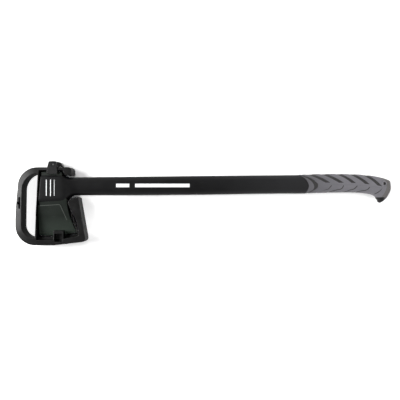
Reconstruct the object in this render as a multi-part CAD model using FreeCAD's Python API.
import FreeCAD, Part
import math
import os

# Splitting maul lying on its side in a carrying sheath.
# Tool coordinates, in millimetres: x runs along the handle from the far end of the cutting edge,
# y runs from the cutting edge towards the poll, and z is measured from the middle plane of the tool.
# The finished solids are moved so that the origin is the bottom centre of the whole object.

os.makedirs("parts", exist_ok=True)
V = FreeCAD.Vector

# Sheath
SHEATH_DEPTH = 50.0
SHEATH_TOP = 176.3
SHEATH_BOTTOM = -24.4
BAR_UNDERSIDE = 168.6
HANG_SLOT_X = (-48.8, -43.8)
HANG_SLOT_Y = (69.5, 99.5)
HANG_NOTCH_X = -52.4
HANG_NOTCH_Y = (80.5, 87.5)
FLOOR_Y = -14.0
ANVIL_TOP = -3.0
ANVIL_FRONT = 3.0
RIB_BACK = -4.0
WEB_THICKNESS = 5.0
HOOK_X = (40.6, 66.7)
HOOK_TOP = 13.6
HOOK_BACK = 5.0
HOOK_WALL = 3.0
HOOK_ROOF = 8.0
HOOK_SKIN = 4.0
CAM_SLOT_X = (30.4, 58.4)
CAM_SLOT_WIDTH = 26.0

# Head
EDGE_ARC_RADIUS = 380.0
EDGE_ARC_X = 20.0
BLADE_HALF_THICKNESS = 20.0
BLADE_ROOT_Y = 96.0
BEVEL_HEIGHT = 6.0
BEVEL_HALF_THICKNESS = 2.2
EDGE_HALF_THICKNESS = 0.15
CHEEK_FOOT_Y = 42.0
CHEEK_TOP_Y = 90.0
CHEEK_STEP = 1.9
EYE_BLOCK_Y = (88.0, 160.0)
POLL_START_Y = 152.0
POLL_Y = 165.4
POLL_LEFT = 9.7
POLL_RIGHT = 61.6
POLL_HALF_THICKNESS = 20.0
BODY_HALF_THICKNESS = 18.0
EYE_LOW = 106.0
EYE_HIGH = 148.0
EYE_HALF_WIDTH = 11.5

# Handle and grip
CORE_INSET = 4.6
BASE_LAYER = 2.2
SHAFT_WALL = 4.4
CAVITY_START = 125.0
LANYARD_X = 892.7
LANYARD_Y = 134.2
LANYARD_RADIUS = 4.0
EYELET_WALL = 2.2
EYELET_HALF_LENGTH = 16.1

# Latch
PIN_X = 41.4
PIN_Y = 182.9
PIN_RADIUS = 2.5
PIN_RUNNING_GAP = 0.06
CAM_RADIUS = 10.5
CAM_OFFSET = 6.7
HUB_RADIUS = 7.0
LEVER_HALF_WIDTH = 12.4
BLOCK_X = (25.0, 51.7)
BLOCK_TOP = 191.6
BLOCK_FRONT = 28.5
BLOCK_BACK = -20.0
TONGUE_FOOT = 158.3
TONGUE_BACK = 20.8
POCKET_HALF_WIDTH = 13.0
PIN_RECESS = (2.2, 1.8)
FAR = 40.0


# ---------------------------------------------------------------- drawing helpers
def arc3(start, middle, end):
    return Part.Arc(V(*start), V(*middle), V(*end)).toShape()


def outline(points, z=0.0):
    """Closed outline from (x, y) corners; a corner written (x, y, r) is rounded to radius r."""
    count = len(points)
    edges = []
    starts = []
    ends = []
    for i in range(count):
        x, y = points[i][:2]
        here = V(x, y, z)
        radius = points[i][2] if len(points[i]) > 2 else 0.0
        if radius == 0.0:
            starts.append(here)
            ends.append(here)
            continue
        before = V(points[i - 1][0], points[i - 1][1], z) - here
        after = V(points[(i + 1) % count][0], points[(i + 1) % count][1], z) - here
        half_angle = before.getAngle(after) / 2.0
        reach = radius / math.tan(half_angle)
        start = here + before.normalize() * reach
        end = here + after.normalize() * reach
        bisector = (before + after).normalize()
        middle = here + bisector * (radius / math.sin(half_angle) - radius)
        edges.append((i, Part.Arc(start, middle, end).toShape()))
        starts.append(start)
        ends.append(end)
    corner_arcs = dict(edges)
    path = []
    for i in range(count):
        if i in corner_arcs:
            path.append(corner_arcs[i])
        tail = starts[(i + 1) % count]
        if ends[i].distanceToPoint(tail) > 1e-6:
            path.append(Part.LineSegment(ends[i], tail).toShape())
    return Part.Wire(path)


def curved_outline(parts, z=0.0):
    """Closed outline; each entry is a point, ("arc", middle, end) or ("curve", points)."""
    first = parts[0]
    here = first
    edges = []
    for part in parts[1:]:
        if part[0] == "arc":
            edges.append(arc3((*here, z), (*part[1], z), (*part[2], z)))
            here = part[2]
        elif part[0] == "curve":
            curve = Part.BSplineCurve()
            curve.interpolate([V(*here, z)] + [V(*point, z) for point in part[1]])
            edges.append(curve.toShape())
            here = part[1][-1]
        else:
            edges.append(Part.LineSegment(V(*here, z), V(*part, z)).toShape())
            here = part
    if math.dist(here, first) > 1e-6:
        edges.append(Part.LineSegment(V(*here, z), V(*first, z)).toShape())
    return Part.Wire(edges)


def slab(wire, low, high):
    """Solid between two heights z from a closed outline drawn at z = 0."""
    face = Part.Face(wire)
    face.translate(V(0, 0, low))
    return face.extrude(V(0, 0, high - low))


def block(x0, x1, y0, y1, z0, z1):
    return Part.makeBox(x1 - x0, y1 - y0, z1 - z0, V(x0, y0, z0))


def rod(x, y, radius, z0, z1):
    return Part.makeCylinder(radius, z1 - z0, V(x, y, z0), V(0, 0, 1))


def soften(solid, radius, chooses):
    """Fillet the edges that chooses(edge) picks; try a smaller radius, then leave them sharp."""
    for size in (radius, 0.6 * radius, 0.3 * radius):
        edges = [edge for edge in solid.Edges if chooses(edge)]
        try:
            result = solid.makeFillet(size, edges)
        except Exception:
            continue
        if result.isValid() and result.Volume > 0.5 * solid.Volume:
            return result
    print("left sharp:", radius)
    return solid


def lies_at(height):
    def chooses(edge):
        box = edge.BoundBox
        return abs(box.ZMin - height) < 1e-4 and abs(box.ZMax - height) < 1e-4
    return chooses


def lies_at_either(height):
    front = lies_at(height)
    back = lies_at(-height)
    return lambda edge: front(edge) or back(edge)


# ---------------------------------------------------------------- steel head
def wedge(cheek_extra):
    """Wedge turned about the centre of the cutting edge's arc, with an optional raised cheek."""
    slope = (BLADE_HALF_THICKNESS - BEVEL_HALF_THICKNESS) / (CHEEK_TOP_Y - BEVEL_HEIGHT)
    full = BLADE_HALF_THICKNESS + cheek_extra
    profile = [
        (0.0, EDGE_HALF_THICKNESS),
        (BEVEL_HEIGHT, BEVEL_HALF_THICKNESS),
        (CHEEK_FOOT_Y, BEVEL_HALF_THICKNESS + slope * (CHEEK_FOOT_Y - BEVEL_HEIGHT)),
        (CHEEK_TOP_Y, full),
        (CHEEK_TOP_Y + 12.0, full),
    ]
    front = [V(EDGE_ARC_X, y, half) for y, half in profile]
    back = [V(EDGE_ARC_X, y, -half) for y, half in reversed(profile)]
    face = Part.Face(Part.makePolygon(front + back + [front[0]]))
    face.rotate(V(EDGE_ARC_X, EDGE_ARC_RADIUS, 0), V(0, 0, 1), -20)
    return face.revolve(V(EDGE_ARC_X, EDGE_ARC_RADIUS, 0), V(0, 0, 1), 40)


def steel_head():
    blade_outline = curved_outline([
        (0.0, -5.0),
        (99.0, -5.0),
        ("curve", [(95.4, 8.0), (81.1, 47.0), (75.2, 75.0), (73.7, BLADE_ROOT_Y)]),
        (3.5, BLADE_ROOT_Y),
        (3.5, 79.0),
        (0.0, 76.0),
    ])
    cheek_outline = outline([(-5, 20), (80, 20), (74.6, 38), (59.0, 77.9, 4), (56.2, 81.5), (-5, 77.9)])
    blade = slab(blade_outline, -FAR, FAR).common(wedge(0.0))
    cheek = slab(blade_outline, -FAR, FAR).common(slab(cheek_outline, -FAR, FAR)).common(wedge(CHEEK_STEP))
    body = block(POLL_LEFT, POLL_RIGHT, *EYE_BLOCK_Y, -BODY_HALF_THICKNESS, BODY_HALF_THICKNESS)
    poll = block(POLL_LEFT, POLL_RIGHT, POLL_START_Y, POLL_Y + 10.0,
                 -POLL_HALF_THICKNESS, POLL_HALF_THICKNESS)
    crown = Part.makeCylinder(POLL_Y, 120, V(-20, 0, 0), V(1, 0, 0))
    poll = poll.common(crown)
    poll = soften(poll, 2.0, lambda edge: edge.BoundBox.YMin > 160.0)
    eye = block(POLL_LEFT - 5, POLL_RIGHT + 5, EYE_LOW, EYE_HIGH, -EYE_HALF_WIDTH, EYE_HALF_WIDTH)
    eye = soften(eye, 5.0, lambda edge: edge.BoundBox.XLength > 20)
    head = blade.fuse(cheek).fuse(body).fuse(poll).removeSplitter()
    return head.cut(eye)


# ---------------------------------------------------------------- handle and grip
# underside point, top point, half thickness, squareness (2 is an ellipse, more is squarer)
HANDLE_STATIONS = [
    ((1.5, 85.8), (8.0, 156.0), 23.5, 9.0),
    ((20.0, 87.0), (22.0, 156.0), 23.5, 9.0),
    ((45.0, 88.7), (45.0, 156.0), 23.5, 9.0),
    ((60.0, 89.7), (60.0, 156.0), 23.4, 8.0),
    ((66.0, 90.2), (66.0, 154.4), 23.0, 6.5),
    ((71.0, 91.2), (71.0, 151.8), 22.2, 5.0),
    ((76.0, 94.0), (76.0, 150.5), 21.0, 4.0),
    ((82.0, 99.3), (82.0, 150.2), 19.6, 3.3),
    ((90.0, 103.2), (90.0, 150.7), 18.4, 2.9),
    ((100.0, 104.1), (100.0, 151.1), 17.4, 2.7),
    ((115.0, 104.0), (115.0, 151.4), 16.8, 2.6),
    ((221.0, 103.9), (221.0, 152.4), 16.5, 2.6),
    ((429.0, 105.6), (429.0, 154.7), 16.5, 2.6),
    ((553.0, 107.6), (553.0, 155.9), 16.5, 2.6),
    ((640.0, 108.5), (640.0, 156.6), 16.6, 2.6),
    ((725.0, 108.7), (725.0, 157.4), 16.8, 2.6),
]
GRIP_STATIONS = [
    ((650.0, 108.6), (650.0, 156.8), 16.8, 2.6),
    ((690.0, 109.0), (690.0, 158.4), 17.6, 2.6),
    ((715.0, 110.0), (715.0, 159.4), 18.0, 2.6),
    ((761.0, 110.7), (761.0, 159.9), 18.2, 2.6),
    ((808.0, 110.9), (808.0, 159.4), 18.0, 2.6),
    ((836.0, 109.6), (842.0, 157.3), 17.6, 2.6),
    ((857.0, 106.8), (872.0, 153.5), 16.8, 2.6),
    ((868.5, 102.0), (893.0, 148.6), 16.0, 2.6),
    ((874.0, 96.0), (910.3, 140.3), 15.0, 2.6),
    ((877.5, 90.5), (912.3, 123.0), 14.0, 2.6),
    ((879.0, 87.0), (905.5, 105.0), 12.5, 2.5),
    ((881.0, 85.2), (899.0, 95.3), 10.0, 2.4),
    ((883.6, 84.3), (891.0, 88.0), 5.0, 2.2),
]
PLUG_FACE = ((866.0, 98.0), (902.0, 100.0))
RING_POINTS = 32


def ring(low, high, half_width, squareness):
    """Closed smooth section standing on the line from low to high, symmetric in z."""
    centre = V((low[0] + high[0]) / 2.0, (low[1] + high[1]) / 2.0, 0)
    reach = V((high[0] - low[0]) / 2.0, (high[1] - low[1]) / 2.0, 0)
    points = []
    for i in range(RING_POINTS):
        angle = 2.0 * math.pi * i / RING_POINTS
        up = math.copysign(abs(math.cos(angle)) ** (2.0 / squareness), math.cos(angle))
        out = math.copysign(abs(math.sin(angle)) ** (2.0 / squareness), math.sin(angle))
        points.append(centre + reach * up + V(0, 0, half_width * out))
    curve = Part.BSplineCurve()
    knots = [i / RING_POINTS for i in range(RING_POINTS + 1)]
    curve.interpolate(Points=points, PeriodicFlag=True, Parameters=knots)
    return Part.Wire([curve.toShape()])


def between(a, b, c, d, t):
    """Point at t from b to c on a smooth curve whose slopes never overshoot."""
    def slope(before, here, after):
        left = here - before
        right = after - here
        return 0.0 if left * right <= 0 else 2.0 * left * right / (left + right)
    m0 = slope(a, b, c)
    m1 = slope(b, c, d)
    return ((2 * t ** 3 - 3 * t ** 2 + 1) * b + (t ** 3 - 2 * t ** 2 + t) * m0
            + (3 * t ** 2 - 2 * t ** 3) * c + (t ** 3 - t ** 2) * m1)


def refine(stations, steps):
    """Stations with steps - 1 more between each pair, on smooth curves through them."""
    flat = [(*low, *high, half, square) for low, high, half, square in stations]
    result = []
    for i in range(len(flat) - 1):
        a = flat[max(i - 1, 0)]
        b = flat[i]
        c = flat[i + 1]
        d = flat[min(i + 2, len(flat) - 1)]
        for k in range(steps):
            row = [between(*values, k / steps) for values in zip(a, b, c, d)]
            result.append(((row[0], row[1]), (row[2], row[3]), row[4], row[5]))
    result.append(stations[-1])
    return result


def shrink(station, inset):
    low, high, half, square = station
    length = math.dist(low, high)
    ux = (high[0] - low[0]) / length * inset
    uy = (high[1] - low[1]) / length * inset
    return (low[0] + ux, low[1] + uy), (high[0] - ux, high[1] - uy), half - inset, square


def loft(stations, steps=3):
    wires = [ring(*station) for station in refine(stations, steps)]
    return Part.makeLoft(wires, True, True, False)


def grip_front(offset):
    """Everything ahead of the curved line where the grip begins, moved along by offset."""
    return slab(curved_outline([
        (600.0, 170.0),
        (667.0 + offset, 170.0),
        ("curve", [(675.0 + offset, 157.0), (689.5 + offset, 146.0), (697.3 + offset, 130.0),
                   (695.0 + offset, 119.0), (689.0 + offset, 108.0)]),
        (684.0 + offset, 100.0),
        (600.0, 100.0),
    ]), -FAR, FAR)


def crescent():
    """Dark band behind the front of the grip, broad in the middle and narrow at both ends."""
    return slab(curved_outline([
        (679.0, 166.0),
        ("curve", [(684.0, 155.8), (702.7, 148.3), (718.0, 136.3), (721.2, 129.8), (718.6, 123.0),
                   (708.2, 115.4), (697.5, 109.5), (692.5, 102.0)]),
        (690.5, 102.0),
        ("curve", [(695.3, 109.9), (700.4, 113.9), (706.5, 117.3), (710.0, 121.5), (711.0, 127.0),
                   (708.0, 134.5), (702.7, 141.1), (693.7, 147.6), (682.5, 153.4), (676.0, 166.0)]),
    ]), -FAR, FAR)


# start on the top of the grip, tip at the seam, and how far the stripe's heel lies above the tip
STRIPES = [
    ((699.0, 160.5), (752.0, 136.8), 0.0),
    ((735.0, 161.0), (787.0, 136.4), 0.0),
    ((776.0, 160.5), (818.5, 135.4), 1.0),
    ((811.0, 159.5), (854.0, 132.2), 1.4),
    ((846.0, 157.5), (886.5, 127.0), 2.6),
]
STRIPE_WIDTH = 12.3


def stripe(start, tip, rise):
    """One chevron stripe: thin on the top of the grip, curving down and widening to the seam."""
    x, y = start
    run = tip[0] - x
    drop = y - tip[1]
    return slab(curved_outline([
        (x - 8.0, y + 2.5),
        (x, y + 2.0),
        ("curve", [(x + 0.42 * run, y - 0.30 * drop), (x + 0.74 * run, y - 0.64 * drop), tip]),
        (tip[0] - STRIPE_WIDTH, tip[1] + rise),
        ("curve", [(x + 0.52 * run, y - 0.70 * drop), (x + 0.26 * run, y - 0.42 * drop),
                   (x - 8.0, y - 1.0)]),
    ]), -FAR, FAR)


def beyond_plug_face():
    """Everything past the plane where the end plug meets the grip."""
    low, high = PLUG_FACE
    across = V(high[0] - low[0], high[1] - low[1], 0).normalize()
    onward = V(across.y, -across.x, 0)
    middle = V((high[0] + low[0]) / 2.0, (high[1] + low[1]) / 2.0, 0)
    side = across * (FAR / 2.0)
    corners = [middle + side, middle + side + onward * FAR, middle - side + onward * FAR, middle - side]
    return slab(Part.makePolygon(corners + [corners[0]]), -FAR, FAR)


def cavity():
    """Hollow of the shaft, from behind the housing to the hook."""
    stations = [((CAVITY_START, 112.0), (CAVITY_START, 143.0), 10.0, 2.3)]
    for station in HANDLE_STATIONS:
        if CAVITY_START + 20.0 < station[0][0] < 645.0:
            stations.append(shrink(station, SHAFT_WALL))
    for station in GRIP_STATIONS[1:7]:
        stations.append(shrink(station, CORE_INSET + SHAFT_WALL))
    return loft(stations, 2)


def handle_pieces(head):
    outer = loft(HANDLE_STATIONS)
    front = grip_front(0.0)
    outer = outer.common(front.fuse(block(-50, 620, 50, 200, -FAR, FAR)))
    beyond = beyond_plug_face()
    whole_grip = loft(GRIP_STATIONS)
    core = loft([shrink(station, CORE_INSET) for station in GRIP_STATIONS[:-2]])
    middle = loft([shrink(station, CORE_INSET - BASE_LAYER) for station in GRIP_STATIONS[:-1]])
    tip = whole_grip.common(beyond)
    grip = whole_grip.cut(beyond).cut(front)
    core = core.cut(beyond)

    bore = rod(LANYARD_X, LANYARD_Y, LANYARD_RADIUS + EYELET_WALL, -FAR, FAR)
    handle = outer.fuse(core).cut(cavity()).cut(head).cut(bore)
    jacket = grip.cut(core).cut(bore)
    base = jacket.common(middle)
    sleeve = jacket.cut(middle)
    darks = [crescent()] + [stripe(*values) for values in STRIPES]
    for dark in darks:
        base = base.fuse(jacket.common(dark))
        sleeve = sleeve.cut(dark)
    collar, sleeve = sorted(sleeve.Solids, key=lambda solid: solid.CenterOfMass.x)
    return handle, base, collar, sleeve, tip


def lanyard_eyelet():
    half = EYELET_HALF_LENGTH
    outer = rod(LANYARD_X, LANYARD_Y, LANYARD_RADIUS + EYELET_WALL, -half, half)
    eyelet = outer.cut(rod(LANYARD_X, LANYARD_Y, LANYARD_RADIUS, -half, half))
    return soften(eyelet, 0.8, lies_at_either(half))


# ---------------------------------------------------------------- sheath
def sheath_outline():
    return curved_outline([
        (88.5, 155.3),
        (88.5, 165.3),
        ("arc", (85.3, 173.1), (77.5, SHEATH_TOP)),
        (-0.8, SHEATH_TOP),
        ("arc", (-36.2, 161.7), (-50.5, 132.3)),
        ("curve", [(-52.4, 110.0), (-54.4, 88.0), (-56.3, 55.0), (-56.8, 27.0)]),
        ("arc", (-42.5, -9.0), (-5.8, SHEATH_BOTTOM)),
        (40.0, SHEATH_BOTTOM),
        (112.0, -16.2),
        ("arc", (120.6, -12.6), (122.9, -5.0)),
        (105.6, 96.0),
        ("arc", (104.7, 98.0), (102.6, 98.8)),
        (99.0, 98.8),
        ("curve", [(89.8, 95.9), (82.3, 91.2)]),
        ("arc", (79.0, 87.2), (79.4, 81.5)),
        ("curve", [(86.7, 64.8), (94.1, 50.8), (100.3, 36.0), (103.9, 20.0), (105.8, 6.0)]),
        ("arc", (104.6, 1.4), (100.4, -1.2)),
        (66.0, -7.6),
        (45.0, -10.8),
        (-2.8, -10.8),
        (-2.6, 60.0),
        (4.0, 166.6),
        ("arc", (4.7, 168.0), (6.2, BAR_UNDERSIDE)),
        (65.2, BAR_UNDERSIDE),
        ("curve", [(66.8, 163.5), (70.5, 158.0), (78.0, 155.4)]),
    ])


def loop_window():
    return curved_outline([
        (-9.1, -5.0),
        ("arc", (-31.4, 4.2), (-40.6, 26.5)),
        ("curve", [(-40.2, 70.0), (-39.3, 117.0)]),
        ("arc", (-27.4, 147.0), (-5.0, 159.8)),
        ("arc", (-0.4, 158.2), (0.4, 153.5)),
        (-6.4, -1.0),
        ("arc", (-7.0, -3.8), (-9.1, -5.0)),
    ])


def hang_slot():
    """Slot for a shop hook, with a notch in the middle of its outer side."""
    left, right = HANG_SLOT_X
    low, high = HANG_SLOT_Y
    slot = slab(outline([(left, low, 1), (right, low, 1), (right, high, 1), (left, high, 1)]), -FAR, FAR)
    return slot.fuse(block(HANG_NOTCH_X, left + 1.0, *HANG_NOTCH_Y, -FAR, FAR))


def sheath_frame():
    half = SHEATH_DEPTH / 2.0
    frame = slab(sheath_outline(), -half, half).cut(slab(loop_window(), -half, half))
    frame = frame.cut(hang_slot())

    # anvil bar that the cutting edge rests over, and the rib that follows the edge
    anvil = block(-3.5, 107.0, FLOOR_Y, ANVIL_TOP, -half, ANVIL_FRONT)
    rib = slab(curved_outline([
        (-3.5, FLOOR_Y), (107.0, FLOOR_Y), (107.0, 6.4),
        ("curve", [(95.0, 4.0), (60.0, -1.0), (20.0, ANVIL_TOP), (-3.5, ANVIL_TOP)]),
    ]), RIB_BACK, ANVIL_FRONT)
    solid_part = slab(sheath_outline(), -half, half)
    room = block(-6, 110, FLOOR_Y, 90, -half, half).cut(solid_part)
    frame = frame.fuse(anvil.common(room)).fuse(rib.common(room))

    # web behind the heel, between the arm and the blade
    heel_web = slab(curved_outline([
        (99.5, -6.0), (112.0, -6.0), (112.0, 20.0), (96.0, 60.0), (84.0, 82.0), (79.8, 82.0),
        ("curve", [(79.6, 72.0), (84.6, 47.0), (99.5, 6.0)]),
    ]), -half, WEB_THICKNESS - half)
    frame = frame.fuse(heel_web.common(room))

    # front hook over the blade, hollow underneath and open down through the bottom bar's front
    left, right = HOOK_X
    hook = block(left, right, FLOOR_Y + 2.0, HOOK_TOP, HOOK_BACK, half - 0.5)
    hook = soften(hook, 1.6, lambda edge: edge.BoundBox.YMin > HOOK_TOP - 0.6 or edge.BoundBox.YLength > 20)
    hollow = block(left + HOOK_WALL, right - HOOK_WALL + 0.2, -20.0, HOOK_TOP - HOOK_ROOF,
                   HOOK_BACK + HOOK_SKIN, FAR)
    entry = hollow.common(block(0, 100, FLOOR_Y - 1.0, -5.0, 0, FAR))
    frame = frame.cut(entry).fuse(hook.cut(hollow))

    # slot through the top bar for the cam, and the notch for the latch block's front leg
    frame = frame.cut(block(*CAM_SLOT_X, 160.0, 180.0, -CAM_SLOT_WIDTH / 2, CAM_SLOT_WIDTH / 2))
    frame = frame.cut(block(*BLOCK_X, 150.0, 180.0, TONGUE_BACK, FAR))
    return frame.removeSplitter()


# ---------------------------------------------------------------- latch
def latch_block():
    left, right = BLOCK_X
    shoulders = [(50.4, 186.0), (48.2, BLOCK_TOP, 2.0), (30.0, BLOCK_TOP, 4.5)]
    leg = slab(outline([(left, TONGUE_FOOT, 1.5), (right, TONGUE_FOOT, 1.5), (right, SHEATH_TOP)]
                       + shoulders + [(left, 172.0)]), TONGUE_BACK, BLOCK_FRONT)
    carrier = slab(outline([(left, SHEATH_TOP), (right, SHEATH_TOP)]
                           + shoulders + [(left + 1.2, SHEATH_TOP + 1.0)]), BLOCK_BACK, TONGUE_BACK)
    pocket = block(CAM_SLOT_X[0], FAR + 20.0, 150.0, 200.0, -POCKET_HALF_WIDTH, POCKET_HALF_WIDTH)
    body = carrier.cut(pocket).fuse(leg)
    body = soften(body, 1.2, lies_at(BLOCK_FRONT))
    bore = rod(PIN_X, PIN_Y, PIN_RADIUS, -FAR, FAR)
    recess_wall, recess_depth = PIN_RECESS
    recess = rod(PIN_X, PIN_Y, PIN_RADIUS + recess_wall, BLOCK_FRONT - recess_depth, FAR)
    return body.cut(bore).cut(recess).removeSplitter()


def latch_lever():
    hub = rod(PIN_X, PIN_Y, HUB_RADIUS, -LEVER_HALF_WIDTH, LEVER_HALF_WIDTH)
    cam = rod(PIN_X, PIN_Y - CAM_OFFSET, CAM_RADIUS, -LEVER_HALF_WIDTH, LEVER_HALF_WIDTH)
    arm = slab(outline([
        (38.0, 177.0), (50.0, 177.0), (52.6, 180.3, 2.0), (57.6, 180.0, 1.5), (58.2, 177.6, 0.8),
        (60.6, 177.6, 1.0), (62.2, 181.5, 2.0), (58.6, 187.6, 2.5), (47.5, 192.0, 3.0), (40.0, 189.9),
    ]), -LEVER_HALF_WIDTH, LEVER_HALF_WIDTH)
    lever = hub.fuse(cam).fuse(arm).removeSplitter()
    lever = soften(lever, 1.0, lies_at_either(LEVER_HALF_WIDTH))
    return lever.cut(rod(PIN_X, PIN_Y, PIN_RADIUS + PIN_RUNNING_GAP, -FAR, FAR))


def latch_pin():
    pin = rod(PIN_X, PIN_Y, PIN_RADIUS, BLOCK_BACK, BLOCK_FRONT - 0.6)
    return soften(pin, 0.5, lambda edge: edge.BoundBox.ZLength < 1e-4)


# ---------------------------------------------------------------- assembly
def build():
    head = steel_head()
    handle, base, collar, sleeve, tip = handle_pieces(head)
    nodes = {
        "steel_head": head,
        "handle_shaft": handle,
        "grip_base": base,
        "grip_collar": collar,
        "grip_sleeve": sleeve,
        "end_plug": tip,
        "lanyard_eyelet": lanyard_eyelet(),
        "sheath_frame": sheath_frame(),
        "latch_block": latch_block(),
        "latch_lever": latch_lever(),
        "latch_pin": latch_pin(),
    }
    whole = FreeCAD.BoundBox()
    for shape in nodes.values():
        whole.add(shape.BoundBox)
    shift = V(-whole.Center.x, -whole.Center.y, -whole.ZMin)
    print("shift", shift, "size", whole.XLength, whole.YLength, whole.ZLength)
    for name, shape in nodes.items():
        moved = shape.copy()
        moved.translate(shift)
        solids = len(moved.Solids)
        print(f"{name:16s} valid {moved.isValid()} solids {solids} volume {moved.Volume / 1000:.1f} cm3")
        moved.exportStep(os.path.join("parts", name + ".step"))


build()
